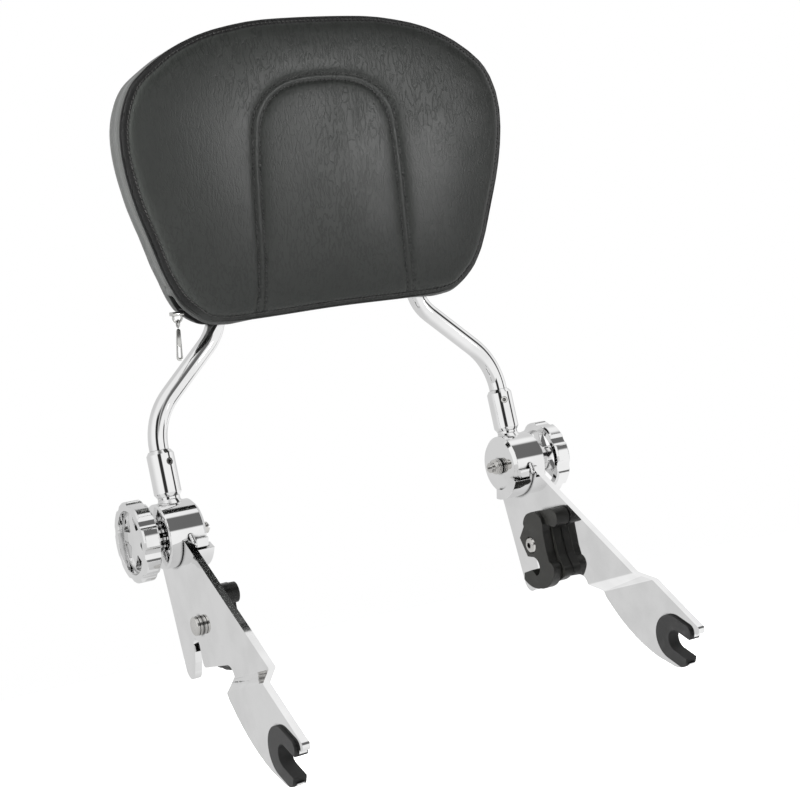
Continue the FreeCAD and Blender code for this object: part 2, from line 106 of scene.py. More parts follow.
def applied(piece, kind, **settings):
    selectOnly(piece)
    step = piece.modifiers.new(kind.title(), kind)
    for key, value in settings.items():
        setattr(step, key, value)
    bpy.ops.object.modifier_apply(modifier=step.name)
    return piece


def settle(piece, place=None):
    # moves the mesh to its place and leaves the object at the origin
    if place is not None:
        piece.matrix_world = place @ piece.matrix_world
    selectOnly(piece)
    bpy.ops.object.transform_apply(location=True, rotation=True, scale=True)
    return piece


def copied(piece, place):
    # a copy with a mesh of its own, put in its place
    other = piece.copy()
    other.data = piece.data.copy()
    other.data.transform(place)
    bpy.context.scene.collection.objects.link(other)
    return other


def joined(pieces, name):
    selectOnly(*pieces)
    if len(pieces) > 1:
        bpy.ops.object.join()
    return named(name)


def smooth(piece, degrees):
    selectOnly(piece)
    bpy.ops.object.shade_smooth_by_angle(angle=math.radians(degrees))
    return piece


def points(piece):
    flat = np.zeros(len(piece.data.vertices) * 3, np.float32)
    piece.data.vertices.foreach_get("co", flat)
    return flat.reshape(-1, 3).astype(float)


def setPoints(piece, places):
    piece.data.vertices.foreach_set("co", places.astype(np.float32).ravel())
    piece.data.update()


# Shader nodes

class Signal:
    # one shader value, so that shader maths reads as arithmetic
    def __init__(self, recipe, socket):
        self.recipe = recipe
        self.socket = socket

    def __add__(self, other):
        return self.recipe.maths("ADD", self, other)

    def __radd__(self, other):
        return self.recipe.maths("ADD", other, self)

    def __sub__(self, other):
        return self.recipe.maths("SUBTRACT", self, other)

    def __rsub__(self, other):
        return self.recipe.maths("SUBTRACT", other, self)

    def __mul__(self, other):
        return self.recipe.maths("MULTIPLY", self, other)

    def __rmul__(self, other):
        return self.recipe.maths("MULTIPLY", other, self)


class Recipe:
    # the nodes of one material or of the world
    def __init__(self, tree):
        self.tree = tree
        tree.nodes.clear()

    def feed(self, socket, value):
        if isinstance(value, Signal):
            self.tree.links.new(value.socket, socket)
        else:
            socket.default_value = value

    def add(self, kind, settings=None, sockets=None, result=0):
        node = self.tree.nodes.new("ShaderNode" + kind)
        for key, value in (settings or {}).items():
            setattr(node, key, value)
        for key, value in (sockets or {}).items():
            self.feed(node.inputs[key], value)
        return Signal(self, node.outputs[result]) if len(node.outputs) else None

    def maths(self, operation, first, second=0.0):
        return self.add("Math", {"operation": operation}, {0: first, 1: second})

    def mix(self, factor, first, second):
        return self.add("Mix", {"data_type": "RGBA"}, {0: factor, 6: first, 7: second}, 2)

    def ramp(self, value, low, high, start=0.0, end=1.0):
        # goes smoothly from start to end as the value goes from low to high
        return self.add("MapRange", {"interpolation_type": "SMOOTHSTEP"},
                        {0: value, 1: low, 2: high, 3: start, 4: end})

    def band(self, value, low, high, edge):
        # 1 between low and high, 0 outside, with soft edges
        rise = self.ramp(value, low - edge, low + edge)
        return rise * self.ramp(value, high - edge, high + edge, 1.0, 0.0)


def grey(level):
    return (level, level, level, 1.0)


def newMaterial(name):
    material = bpy.data.materials.new(name)
    material.use_nodes = True
    recipe = Recipe(material.node_tree)
    return material, recipe, recipe.add("TexCoord", None, None, "Object")


def finishMaterial(recipe, sockets):
    shader = recipe.add("BsdfPrincipled", None, sockets)
    recipe.add("OutputMaterial", None, {0: shader})


def axis(recipe, place, letter):
    return recipe.add("SeparateXYZ", None, {0: place}, letter)


def mapped(recipe, place, lean=0.0, stretch=(1, 1, 1)):
    # the same place in axes that lean forward and are scaled
    return recipe.add("Mapping", None, {0: place, 2: (-lean, 0, 0), 3: stretch})


def noise(recipe, place, scale, detail, stretch=(1, 1, 1), lean=0.0):
    spot = mapped(recipe, place, lean, stretch)
    return recipe.add("TexNoise", None, {0: spot, "Scale": scale, "Detail": detail})


# Camera, light and floor

camera = {"place": (-0.5127, -0.8348, 0.1278), "direction": (0.5028, 0.8623, 0.0599), "roll": -12.02,
          "lens": 72.03, "sensor": 36.0}


def looking(direction):
    # cameras and lamps look along their own -Z
    return Vector(direction).to_track_quat("-Z", "Y")


turn = looking(camera["direction"]).to_matrix() @ Matrix.Rotation(math.radians(camera["roll"]), 3, "Z")
bpy.ops.object.camera_add(location=camera["place"], rotation=turn.to_euler())
viewer = bpy.context.object
viewer.data.lens = camera["lens"]
viewer.data.sensor_width = camera["sensor"]
bpy.context.scene.camera = viewer
bpy.context.scene.view_settings.view_transform = "Standard"

studio = {"facing": (0.504, 0.864),  # the photo's line of sight in plan
          "diffuse": 0.26,  # the room's light on the object
          "white": 0.98, "side": 0.70}  # the room's walls, as metal mirrors them

# What metal mirrors in front of the white wall. Each panel's reach around from the photo's camera and up
# is given as low, high and soft edge in degrees, and a panel covers the ones before it.
panels = {"leftWall": {"around": (-300.0, -70.0, 25.0), "tone": studio["side"]},
          "backWall": {"around": (135.0, 190.0, 12.0), "tone": studio["side"]},
          "rightScreen": {"around": (18.0, 100.0, 10.0), "up": (9.0, 53.0, 3.0), "tone": 0.15},
          "frontStrip": {"around": (-14.0, 14.0, 4.0), "up": (-25.0, 30.0, 6.0), "tone": 0.03},
          "rightStrip": {"around": (76.0, 92.0, 4.0), "up": (-25.0, 30.0, 6.0), "tone": 0.03},
          "ceiling": {"around": (-25.0, 300.0, 15.0), "up": (69.0, 200.0, 3.0), "tone": 0.10}}

lamps = {"left": {"place": (-1.5, 0.1, 0.75), "aim": (0, 0.06, 0.25), "size": 1.1, "watts": 95.0},
         "back": {"place": (0.3, 1.3, 1.1), "aim": (0, 0.06, 0.25), "size": 0.9, "watts": 10.0},
         # an oval spot low at the front right, for the sheen on the pad's front
         "pool": {"place": (0.556, -0.769, 0.18), "aim": (0.035, 0.03, 0.400), "cone": 13.0, "wide": 2.1,
                  "soft": 0.12, "watts": 20.0}}

floorPaper = {"place": (0, 0.06, -0.12), "radius": 2.6, "corners": 96, "dark": 0.96, "light": 0.99,
              "speckle": 40.0, "lift": 0.72, "mirrored": (-0.2, 0.1)}


def toRight(recipe, place):
    # how far to the right of the photo's line of sight a place or a direction lies
    ahead, aside = studio["facing"]
    return axis(recipe, place, "X") * aside + axis(recipe, place, "Y") * -ahead


def buildWorld():
    world = bpy.data.worlds.new("studio")
    bpy.context.scene.world = world
    world.use_nodes = True
    sky = Recipe(world.node_tree)
    way = sky.add("TexCoord")
    height = axis(sky, way, "Z")
    up = sky.maths("ARCSINE", height) * math.degrees(1)
    toCamera = axis(sky, way, "X") * -studio["facing"][0] + axis(sky, way, "Y") * -studio["facing"][1]
    right = toRight(sky, way)
    around = sky.maths("ARCTAN2", right, toCamera) * math.degrees(1)
    mirrored = grey(studio["white"])
    for panel in panels.values():
        there = sky.band(around, *panel["around"])
        if "up" in panel:
            there = there * sky.band(up, *panel["up"])
        mirrored = sky.mix(there, mirrored, grey(panel["tone"]))
    colour = sky.mix(sky.add("LightPath", None, None, "Is Glossy Ray"), grey(studio["diffuse"]), mirrored)
    colour = sky.mix(sky.add("LightPath", None, None, "Is Camera Ray"), colour, grey(1.0))
    shown = sky.add("Background", None, {0: colour, 1: 1.0})
    sky.add("OutputWorld", None, {0: shown})


def buildLamps():
    for name, lamp in lamps.items():
        spot = "cone" in lamp
        way = looking(Vector(lamp["aim"]) - Vector(lamp["place"]))
        bpy.ops.object.light_add(type="SPOT" if spot else "AREA", location=lamp["place"],
                                 rotation=way.to_euler())
        light = bpy.context.object
        light.name = name + "Lamp"
        light.data.energy = lamp["watts"]
        light.visible_glossy = spot
        if spot:
            light.data.spot_size = math.radians(lamp["cone"])
            light.data.spot_blend = 1.0
            light.data.shadow_soft_size = lamp["soft"]
            light.scale.x = lamp["wide"]
        else:
            light.data.shape = "DISK"
            light.data.size = lamp["size"]


def buildFloor():
    bpy.ops.mesh.primitive_circle_add(vertices=floorPaper["corners"], radius=floorPaper["radius"],
                                      fill_type="NGON", location=floorPaper["place"])
    floor = named("floor")
    material, recipe, place = newMaterial("floorPaper")
    speckle = recipe.add("TexNoise", None, {0: place, "Scale": floorPaper["speckle"], "Detail": 3.0})
    tone = recipe.mix(speckle, grey(floorPaper["dark"]), grey(floorPaper["light"]))
    shader = recipe.add("BsdfDiffuse", None, {0: tone})
    # the camera sees it lifted to white, and metal sees its plain tones
    lift = recipe.add("Emission", None, {0: grey(1.0), 1: floorPaper["lift"]})
    seen = recipe.add("AddShader", None, {0: shader, 1: lift})
    fromCamera = recipe.add("LightPath", None, None, "Is Camera Ray")
    shader = recipe.add("MixShader", None, {0: fromCamera, 1: shader, 2: seen})
    tone = recipe.mix(recipe.ramp(toRight(recipe, place), *floorPaper["mirrored"]),
                      grey(studio["side"]), grey(studio["white"]))
    mirrored = recipe.add("Emission", None, {0: tone, 1: 1.0})
    fromMetal = recipe.add("LightPath", None, None, "Is Glossy Ray")
    shader = recipe.add("MixShader", None, {0: fromMetal, 1: shader, 2: mirrored})
    recipe.add("OutputMaterial", None, {0: shader})
    floor.data.materials.append(material)


buildWorld()
buildLamps()
buildFloor()
print("studio ready")


# Materials

padLean = math.radians(15.1)
padMiddle = Vector((0, 0.0712, 0.3655))


def padPlace(recipe, place):
    # how far up the pad and how far behind its front seam
    y = axis(recipe, place, "Y") - padMiddle.y
    z = axis(recipe, place, "Z") - padMiddle.z
    up = z * math.cos(padLean) - y * math.sin(padLean)
    behind = y * math.cos(padLean) + z * math.sin(padLean)
    return up, behind


# Reaches are in metres, up the pad from its middle or back from its front seam
vinyl = {
    "dark": (0.010, 0.011, 0.010, 1), "light": (0.027, 0.029, 0.027, 1),
    "roughness": 0.34, "specular": 0.27,
    "pebbles": 1400.0, "pebbleSmoothness": 0.7, "pebbleHeight": 0.3, "bump": 0.3, "bumpHeight": 0.0005,
    # the creases' dark share is painted shade in them
    "creases": (330, 330, 90), "creaseWidth": 0.075, "creasePaintedShade": 0.45, "creaseDepth": 0.8,
    "patches": 13.0, "patchStretch": (1, 1, 0.8), "rubbed": (0.36, 0.70), "rubLight": 0.3,
    "rubRough": 0.08, "creasesUnrubbed": 0.25,
    # the gusset is painted lighter than the front: painted light falling from the left
    "gussetPaintedLight": (0.030, 0.031, 0.030, 1), "gussetPaintedLightBehind": (0.0032, 0.0036),
    # the band between the topstitch and the seam is painted darker: painted shade
    "bandPaintedShade": (0.007, 0.007, 0.007, 1), "bandPaintedShadeBehind": (-0.0008, 0.0033, 0.0003),
    "bandPaintedShadeUp": (-0.104, -0.092, 0.35, 1.0),  # fades out towards the lower edge
    # the zipper's channel is painted near-black: dark cloth, and painted shade in its recess as well
    "cloth": (0.003, 0.003, 0.003, 1), "clothRough": 0.4, "clothAndShadeTop": -0.0880,
    "clothAndShadeBehind": (0.0072, 0.0185), "clothAndShadeEdge": 0.0004,
}


def vinylMaterial():
    material, recipe, place = newMaterial("blackVinyl")
    spot = mapped(recipe, place, padLean)
    pebbles = recipe.add("TexVoronoi", {"feature": "SMOOTH_F1"},
                         {0: spot, "Scale": vinyl["pebbles"], "Smoothness": vinyl["pebbleSmoothness"]})
    folds = noise(recipe, place, 1.0, 2.0, vinyl["creases"], padLean)
    creases = recipe.ramp(recipe.maths("ABSOLUTE", folds - 0.5), 0.0, vinyl["creaseWidth"], 1.0, 0.0)
    patches = noise(recipe, place, vinyl["patches"], 3.0, vinyl["patchStretch"], padLean)
    rub = recipe.ramp(patches, *vinyl["rubbed"])
    creases = creases * (vinyl["creasesUnrubbed"] + rub * (1 - vinyl["creasesUnrubbed"]))
    up, behind = padPlace(recipe, place)
    edge = vinyl["clothAndShadeEdge"]
    # the channel's mask: dark cloth together with painted shade in the recess
    cloth = recipe.ramp(up, vinyl["clothAndShadeTop"] - edge, vinyl["clothAndShadeTop"] + edge, 1.0, 0.0)
    cloth = cloth * recipe.band(behind, *vinyl["clothAndShadeBehind"], edge)
    # the creases are painted darker: painted shade in them
    lightness = rub * vinyl["rubLight"] + (1 - vinyl["rubLight"]) - creases * vinyl["creasePaintedShade"]
    base = recipe.mix(lightness, vinyl["dark"], vinyl["light"])
    # painted light: the gusset is painted lighter, as the light falls on it from the left
    base = recipe.mix(recipe.ramp(behind, *vinyl["gussetPaintedLightBehind"]), base, vinyl["gussetPaintedLight"])
    # painted shade on the band between the topstitch and the seam
    bandPaintedShade = recipe.band(behind, *vinyl["bandPaintedShadeBehind"]) * recipe.ramp(up, *vinyl["bandPaintedShadeUp"])
    base = recipe.mix(bandPaintedShade, base, vinyl["bandPaintedShade"])
    base = recipe.mix(cloth, base, vinyl["cloth"])
    grain = pebbles * vinyl["pebbleHeight"] - creases * vinyl["creaseDepth"]
    bump = recipe.add("Bump", None, {"Strength": vinyl["bump"], "Distance": vinyl["bumpHeight"],
                                     "Height": grain})
    roughness = vinyl["roughness"] + rub * vinyl["rubRough"] + cloth * vinyl["clothRough"]
    finishMaterial(recipe, {"Base Color": base, "Roughness": roughness,
                            "Specular IOR Level": vinyl["specular"], "Normal": bump})
    return material


# Two crossing rows of threads. At scale 1 a wave texture draws so many bands to the metre, by direction.
tapeCloth = {"dark": grey(0.006), "light": grey(0.022), "roughness": 0.85, "pitch": 0.0007, "wobble": 0.3,
             "bands": {"X": 3.2, "DIAGONAL": 4.0}, "fuzz": 900.0, "fuzzShare": 0.3, "fuzzHeight": 0.5,
             "bump": 0.6, "bumpHeight": 0.0003}


def tapeMaterial():
    material, recipe, place = newMaterial("zipTapeWeave")
    spot = mapped(recipe, place, padLean)
    rows = []
    for direction, bands in tapeCloth["bands"].items():
        scale = 1 / tapeCloth["pitch"] / bands
        rows.append(recipe.add("TexWave", {"bands_direction": direction},
                               {0: spot, "Scale": scale, "Distortion": tapeCloth["wobble"]}))
    weave = rows[0] * 0.5 + rows[1] * 0.5
    fuzz = noise(recipe, place, tapeCloth["fuzz"], 4.0)
    lightness = weave * (1 - tapeCloth["fuzzShare"]) + fuzz * tapeCloth["fuzzShare"]
    base = recipe.mix(lightness, tapeCloth["dark"], tapeCloth["light"])
    bump = recipe.add("Bump", None, {"Strength": tapeCloth["bump"], "Distance": tapeCloth["bumpHeight"],
                                     "Height": weave + fuzz * tapeCloth["fuzzHeight"]})
    finishMaterial(recipe, {"Base Color": base, "Roughness": tapeCloth["roughness"], "Normal": bump})
    return material


sewingThread = {"dark": grey(0.012), "light": (0.042, 0.042, 0.040, 1), "roughness": 0.6, "twist": 1800.0,
                "twistStretch": (1, 1, 3), "bump": 0.5, "bumpHeight": 0.0002}


def threadMaterial():
    material, recipe, place = newMaterial("blackThread")
    twist = noise(recipe, place, sewingThread["twist"], 2.0, sewingThread["twistStretch"])
    base = recipe.mix(twist, sewingThread["dark"], sewingThread["light"])
    bump = recipe.add("Bump", None, {"Strength": sewingThread["bump"],
                                     "Distance": sewingThread["bumpHeight"], "Height": twist})
    finishMaterial(recipe, {"Base Color": base, "Roughness": sewingThread["roughness"], "Normal": bump})
    return material


# Painted shade: a place goes dark as what stands within the reach shuts it in, and gap is the tone of
# that painted shade
metal = {"smudges": 45.0, "smudged": (0.35, 0.7), "smudgeRough": (0.45, 0.8),
         "waves": 26.0, "waveHeight": 0.0006,
         "paintedShadeReach": 0.004, "paintedShadeOpens": (0.40, 0.80), "gap": grey(0.07)}


def metalMaterial(name, dark, light, roughness, spread, edge=0.0006, ripple=0.03):
    # polished or brushed metal with soft smudges and painted shade where other parts close in, and with
    # its edges broken where edge isn't 0
    material, recipe, place = newMaterial(name)
    smudge = noise(recipe, place, metal["smudges"], 4.0)
    waves = noise(recipe, place, metal["waves"], 2.0)
    base = recipe.mix(recipe.ramp(smudge, *metal["smudged"]), light, dark)
    # painted shade in gaps and crevices: darker where the place is shut in
    openness = recipe.add("AmbientOcclusion", {"samples": 8}, {"Distance": metal["paintedShadeReach"]}, "AO")
    base = recipe.mix(recipe.ramp(openness, *metal["paintedShadeOpens"]), metal["gap"], base)
    sockets = {"Strength": ripple, "Distance": metal["waveHeight"], "Height": waves}
    if edge:
        sockets["Normal"] = recipe.add("Bevel", {"samples": 8}, {0: edge})
    bump = recipe.add("Bump", None, sockets)
    roughness = roughness + recipe.ramp(smudge, *metal["smudgeRough"]) * spread
    finishMaterial(recipe, {"Base Color": base, "Metallic": 1.0, "Roughness": roughness, "Normal": bump})
    return material


plastic = {"scuffs": 120.0, "scuffed": (0.5, 0.75), "scuffLight": 0.5, "scuffHeight": 0.3,
           "scuffRough": 0.14, "grainLight": 0.2, "bumpHeight": 0.0003, "edge": 0.0007, "specular": 0.3}


def plasticMaterial(name, dark, light, roughness, grain=2600.0, strength=0.12):
    material, recipe, place = newMaterial(name)
    moulding = noise(recipe, place, grain, 2.0)
    scuff = recipe.ramp(noise(recipe, place, plastic["scuffs"], 5.0), *plastic["scuffed"])
    base = recipe.mix(scuff * plastic["scuffLight"] + moulding * plastic["grainLight"], dark, light)
    rounded = recipe.add("Bevel", {"samples": 4}, {0: plastic["edge"]})
    grainHeight = moulding + scuff * plastic["scuffHeight"]
    bump = recipe.add("Bump", None, {"Strength": strength, "Distance": plastic["bumpHeight"],
                                     "Height": grainHeight, "Normal": rounded})
    finishMaterial(recipe, {"Base Color": base, "Roughness": roughness + scuff * plastic["scuffRough"],
                            "Specular IOR Level": plastic["specular"], "Normal": bump})
    return material


coverVinyl = vinylMaterial()
tapeWeave = tapeMaterial()
thread = threadMaterial()
chrome = metalMaterial("chromePlate", grey(0.82), grey(0.88), 0.03, 0.03)
tubeChrome = metalMaterial("tubeChrome", grey(0.82), grey(0.88), 0.03, 0.02, edge=0, ripple=0.01)
steel = metalMaterial("brightSteel", (0.58, 0.57, 0.55, 1), (0.72, 0.71, 0.69, 1), 0.20, 0.12, edge=0)
nickel = metalMaterial("zipNickel", (0.50, 0.50, 0.49, 1), (0.66, 0.66, 0.64, 1), 0.16, 0.12, edge=0.0002)
latchPlastic = plasticMaterial("latchPlastic", (0.010, 0.010, 0.009, 1), (0.021, 0.021, 0.020, 1), 0.38)
toothPlastic = plasticMaterial("zipTeethPlastic", grey(0.010), grey(0.026), 0.4)
dockRubber = plasticMaterial("dockRubber", grey(0.012), grey(0.028), 0.60, 1500.0, 0.3)
boardGrain = plasticMaterial("boardBlack", (0.020, 0.018, 0.016, 1), (0.045, 0.042, 0.038, 1), 0.75,
                             700.0, 0.4)


def dress(piece, material, body):
    piece.data.materials.clear()
    piece.data.materials.append(material)
    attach(piece, body)
    return piece


finishes = {"upright_hoop": tubeChrome, "pad_backboard": boardGrain}
for side in ("left_", "right_"):
    for part in ("stop_cup", "hub_drum", "knob"):
        finishes[side + part] = chrome
    for part in ("sleeve", "lock_ring", "side_plate"):
        finishes[side + part] = tubeChrome
    for part in ("sleeve_screw", "clamp_stud", "latch_screw", "latch_stud", "latch_spring"):
        finishes[side + part] = steel
    for part in ("latch_base", "latch_hook"):
        finishes[side + part] = latchPlastic
    finishes[side + "notch_rubber"] = dockRubber

for name, material in finishes.items():
    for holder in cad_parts[name].material_slots:
        holder.material = material
print("CAD nodes dressed:", len(finishes))


# Pad. Its own frame: X to the right, Y up along the pad, Z out of its front, origin at the seam plane.

padFrame = Matrix(((1, 0, 0, 0), (0, -math.sin(padLean), -math.cos(padLean), padMiddle.y),
                   (0, math.cos(padLean), -math.sin(padLean), padMiddle.z), (0, 0, 0, 1)))

# Lengths in millimetres. A pair such as hangUp says where a change starts and where it is full.
pad = {
    # right half of the front seam, from the top
    "seam": [(0, 81.5), (23, 81.3), (43, 80.5), (60, 78), (80, 74), (101, 66), (116, 57), (129, 47),
             (136, 36), (140.5, 22), (141.5, 8), (140, -8), (135, -31), (128, -52), (121, -74),
             (112, -91), (98, -103), (85, -106.6), (60, -107.3), (0, -106.5)],
    "seamPoints": 260,
    # one half of each of the two sewn rows of the U, from the lower edge up
    "outerRow": [(60.0, -103.5), (58.2, -80), (57.3, -62), (56.8, -43.7), (56.1, -22.6), (55.2, -6.5),
                 (53.6, 13.6), (50.2, 25.4), (42.4, 35.0), (33.2, 40.7), (24.5, 43.6), (12, 45.4),
                 (0, 45.9)],
    "innerRow": [(54.8, -103.5), (53.0, -80), (52.3, -62), (51.7, -44), (51.0, -23), (50.2, -6.8),
                 (48.2, 13.2), (45.0, 22.7), (38.7, 31.2), (30.8, 36.6), (22, 39.6), (11, 41.2),
                 (0, 41.5)],
    "rowPoints": 200,
    # rings of the blank from its back to its front: how far inside the seam, and how far forward
    "rings": [(28.0, -44.5), (20.0, -43.6), (11.0, -39.6), (5.6, -33.0), (2.6, -26.0), (-0.4, -15.0),
              (-2.6, -5.0), (-2.8, -0.9), (1.0, 0.9), (4.0, 2.0), (8.0, 3.6), (13.0, 4.4), (20.0, 5.0),
              (32.0, 5.4)],
    "voxel": 4.0, "smoothing": 0.4,
    # tables of height and amount
    "band": [(-107, 2.6), (-98, 4.0), (-70, 3.4), (40, 3.4), (72, 1.6)],  # from the seam to the topstitch
    "fuller": [(35, 0.6), (74, 0.5)],  # how much wider the cover is than its pattern
    "fall": [(-107, 2.2), (-85, 2.6)], "fallFrom": -14.0,  # how far the front panel's edge falls back
    # the gusset between these rings is cut true, and the front sits aside of it
    "gussetRings": (4, 8), "trueBack": (-30.0, -20.0), "trueFront": (0.6, -0.2), "trueReach": (3.0, 0.0),
    "aside": 1.0, "asideFrom": (-12.0, -2.0),
    # the sewn rows draw the front in
    "bandSink": {"groove": 1.3, "narrow": 1.3, "pucker": 0.28, "dip": 0.5, "broad": 3.4},
    "rowSink": {"groove": 1.15, "narrow": 1.2, "pucker": 0.30, "dip": 0.55, "broad": 4.0},
    "sinkFront": (-1.6, -0.4), "rowFade": (-2.0, 2.0),
    # the lower corners hang lower behind the seam
    "hang": 6.0, "hangUp": (-78.0, -92.0), "hangOut": (0.0, 78.0), "hangFront": (-2.0, -11.0),
    "hangBack": (-46.0, -32.0),
    # the slanting ends of the zipper's channel, and the seam across the gusset above them
    "recess": 5.5, "recessMiddle": -12.4, "recessHalf": 5.6, "recessUp": (-87.5, -89.5),
    "recessOut": (60.0, 80.0), "edgeReach": (3.0, 0.0),
    "crossSeam": -82.5, "crossSink": 1.0, "crossWidth": 1.0, "crossOut": 90.0,
}

zipper = {"middle": -12.0, "up": -96.8, "start": -107.5, "end": 102.0,
          "channel": 10.0, "channelUp": 0.2, "squareness": 8,
          "width": 9.0, "tape": 0.5, "tapeBevel": 0.15,
          "tooth": (0.95, 0.7, 2.6), "toothBevel": 0.2, "toothSunk": 0.05, "toothPitch": 1.9,
          "toothAside": 0.75, "bareEnd": 2.0}


def mirroredLoop(half):
    right = [Vector(p) for p in half]
    left = [Vector((-x, y)) for x, y in half[-2:0:-1]]
    return right + left


def mirroredRow(half):
    left = [Vector((-x, y)) for x, y in half]
    right = [Vector(p) for p in half[-2::-1]]
    return left + right


def runLengths(line):
    # how far along the line each of its points lies
    return np.concatenate([[0], np.cumsum(np.linalg.norm(np.diff(line, axis=0), axis=1))])


def curvePoints(corners, count, closed, steps=24):
    # evenly spaced points on a smooth curve through the corners
    dense = []
    total = len(corners)
    for index in range(total if closed else total - 1):
        if closed:
            a, b, c, d = (corners[(index + k) % total] for k in (-1, 0, 1, 2))
        else:
            a, b, c, d = (corners[min(max(index + k, 0), total - 1)] for k in (-1, 0, 1, 2))
        for step in range(steps):
            t = step / steps
            dense.append(0.5 * (2 * b + (c - a) * t + (2 * a - 5 * b + 4 * c - d) * t * t
                                + (3 * b - a - 3 * c + d) * t ** 3))
    dense.append(dense[0].copy() if closed else corners[-1].copy())
    path = np.array(dense, float)
    lengths = runLengths(path)
    wanted = np.linspace(0, lengths[-1], count + 1 if closed else count)
    even = np.stack([np.interp(wanted, lengths, path[:, k]) for k in range(path.shape[1])], axis=1)
    return even[:-1] if closed else even


def closedUp(loop):
    return np.vstack([loop, loop[:1]])


def inset(loop, distance):
    # moves a closed loop inwards, by one distance or by one for each point
    ahead = np.roll(loop, -1, axis=0) - np.roll(loop, 1, axis=0)
    way = ahead / np.linalg.norm(ahead, axis=1)[:, None]
    inward = np.stack([way[:, 1], -way[:, 0]], axis=1)
    if ((loop.mean(axis=0) - loop) * inward).sum() < 0:
        inward = -inward
    return loop + inward * np.broadcast_to(distance, len(loop))[:, None]


def nearest(spots, line, closed=False):
    # distance from each spot to a line of points, and how far along the line that is
    ends = np.roll(line, -1, axis=0) if closed else line[1:]
    starts = line if closed else line[:-1]
    runs = ends - starts
    lengths = np.linalg.norm(runs, axis=1)
    before = np.concatenate([[0], np.cumsum(lengths)[:-1]])
    best = np.full(len(spots), 1e9)
    along = np.zeros(len(spots))
    for k in range(len(starts)):
        t = np.clip(((spots - starts[k]) @ runs[k]) / max(lengths[k] ** 2, 1e-12), 0, 1)
        away = np.linalg.norm(spots - (starts[k] + t[:, None] * runs[k]), axis=1)
        closer = away < best
        best = np.where(closer, away, best)
        along = np.where(closer, before[k] + t * lengths[k], along)
    return best, along


def inside(spots, loop):
    crossings = np.zeros(len(spots), int)
    for (x0, y0), (x1, y1) in zip(loop, np.roll(loop, -1, axis=0)):
        spans = (y0 > spots[:, 1]) != (y1 > spots[:, 1])
        at = x0 + (spots[:, 1] - y0) / (y1 - y0 if y1 != y0 else 1e-12) * (x1 - x0)
        crossings += spans & (spots[:, 0] < at)
    return crossings % 2 == 1


def atHeight(table, height):
    # reads a table of height and amount
    heights, amounts = zip(*table)
    return np.interp(height, heights, amounts)


def share(value, start, end):
    # how much of the way from start to end a value has gone, from 0 to 1
    return np.clip((value - start) / (end - start), 0, 1)


def bell(distance, width, power=2):
    # 1 at no distance and nearly 0 past the width, with a flat top where the power is high
    return np.exp(-(distance / width) ** power)


outline = curvePoints(mirroredLoop(pad["seam"]), pad["seamPoints"], True)
seamLoop = inset(outline, -atHeight(pad["fuller"], outline[:, 1])) + [pad["aside"], 0]
bandLoop = inset(outline, atHeight(pad["band"], outline[:, 1])) + [pad["aside"], 0]
outerRow = curvePoints(mirroredRow(pad["outerRow"]), pad["rowPoints"], False)
innerRow = curvePoints(mirroredRow(pad["innerRow"]), pad["rowPoints"], False)


def toRows(spots):
    return np.minimum(nearest(spots, outerRow)[0], nearest(spots, innerRow)[0])


def padBlank():
    # a disc drawn out ring by ring from the back to the front
    bpy.ops.mesh.primitive_circle_add(vertices=len(seamLoop), radius=0.1, fill_type="NGON")
    blank = named("padCushion")
    startEdit(blank)
    for number, (drawnIn, depth) in enumerate(pad["rings"]):
        if number:
            bpy.ops.mesh.select_mode(type="FACE")
            bpy.ops.mesh.extrude_region_move(TRANSFORM_OT_translate={"value": (0, 0, 0.001)})
        shape = bmesh.from_edit_mesh(blank.data)
        ring = [vert for vert in shape.verts if vert.select]
        for vert, spot in zip(ring, inset(outline, drawnIn)):
            vert.co = (spot[0] * mm, spot[1] * mm, depth * mm)
        bmesh.update_edit_mesh(blank.data)
    faceOut()
    endEdit()
    return blank


# The foam presses the cover out, and the sewn rows, the seam and the back hold it
foam = {"frames": 20, "most": 3.5, "rowsAbove": -3.0, "rowReach": 4, "rowHold": 0.7,
        "seamWithin": 4.0, "seamReach": 3, "seamHold": 0.95, "backBelow": -40.0, "backHold": 0.6}
foamCover = {"quality": 5, "mass": 0.2, "tension_stiffness": 25, "compression_stiffness": 25,
             "bending_stiffness": 1.2, "use_pressure": True, "uniform_pressure_force": 4.0,
             "vertex_group_mass": "held"}


def swell(piece):
    # a short run of cloth under pressure, with its moves kept small
    before = points(piece)
    scene = bpy.context.scene
    group = piece.vertex_groups.new(name="held")
    spots = before[:, :2] / mm
    toSeam = nearest(spots, seamLoop, True)[0]
    toBand = nearest(spots, bandLoop, True)[0]
    atSeam = np.abs(before[:, 2]) < foam["seamWithin"] * mm
    rowHold = foam["rowHold"] * bell(toRows(spots), foam["rowReach"])
    hold = np.maximum(bell(toBand, foam["rowReach"]), rowHold)
    hold = np.where(before[:, 2] > foam["rowsAbove"] * mm, hold, 0.0)
    hold = np.maximum(hold, foam["seamHold"] * bell(toSeam, foam["seamReach"]) * atSeam)
    hold = np.maximum(hold, np.where(before[:, 2] < foam["backBelow"] * mm, foam["backHold"], 0.0))
    for index, amount in enumerate(hold):
        group.add([index], float(amount), "REPLACE")
    selectOnly(piece)
    cloth = piece.modifiers.new("Cloth", "CLOTH")
    for key, value in foamCover.items():
        setattr(cloth.settings, key, value)
    cloth.settings.effector_weights.gravity = 0
    cloth.point_cache.frame_start = 1
    cloth.point_cache.frame_end = foam["frames"]
    for frameNumber in range(1, foam["frames"] + 1):
        scene.frame_set(frameNumber)
    bpy.ops.object.modifier_apply(modifier=cloth.name)
    scene.frame_set(1)
    move = points(piece) - before
    size = np.linalg.norm(move, axis=1)
    most = foam["most"] * mm
    limit = most * np.tanh(size / most)
    setPoints(piece, before + move * (limit / np.maximum(size, 1e-9))[:, None])
    print("pad swelled by", round(float(size.max()) / mm, 1), "mm at most")


# Where the cushion gets finer faces: near the seam and the sewn rows in front, and round the zipper
finer = {"front": -1.8, "seam": 14.0, "row": 5.0, "back": -18.0, "low": -80.0}


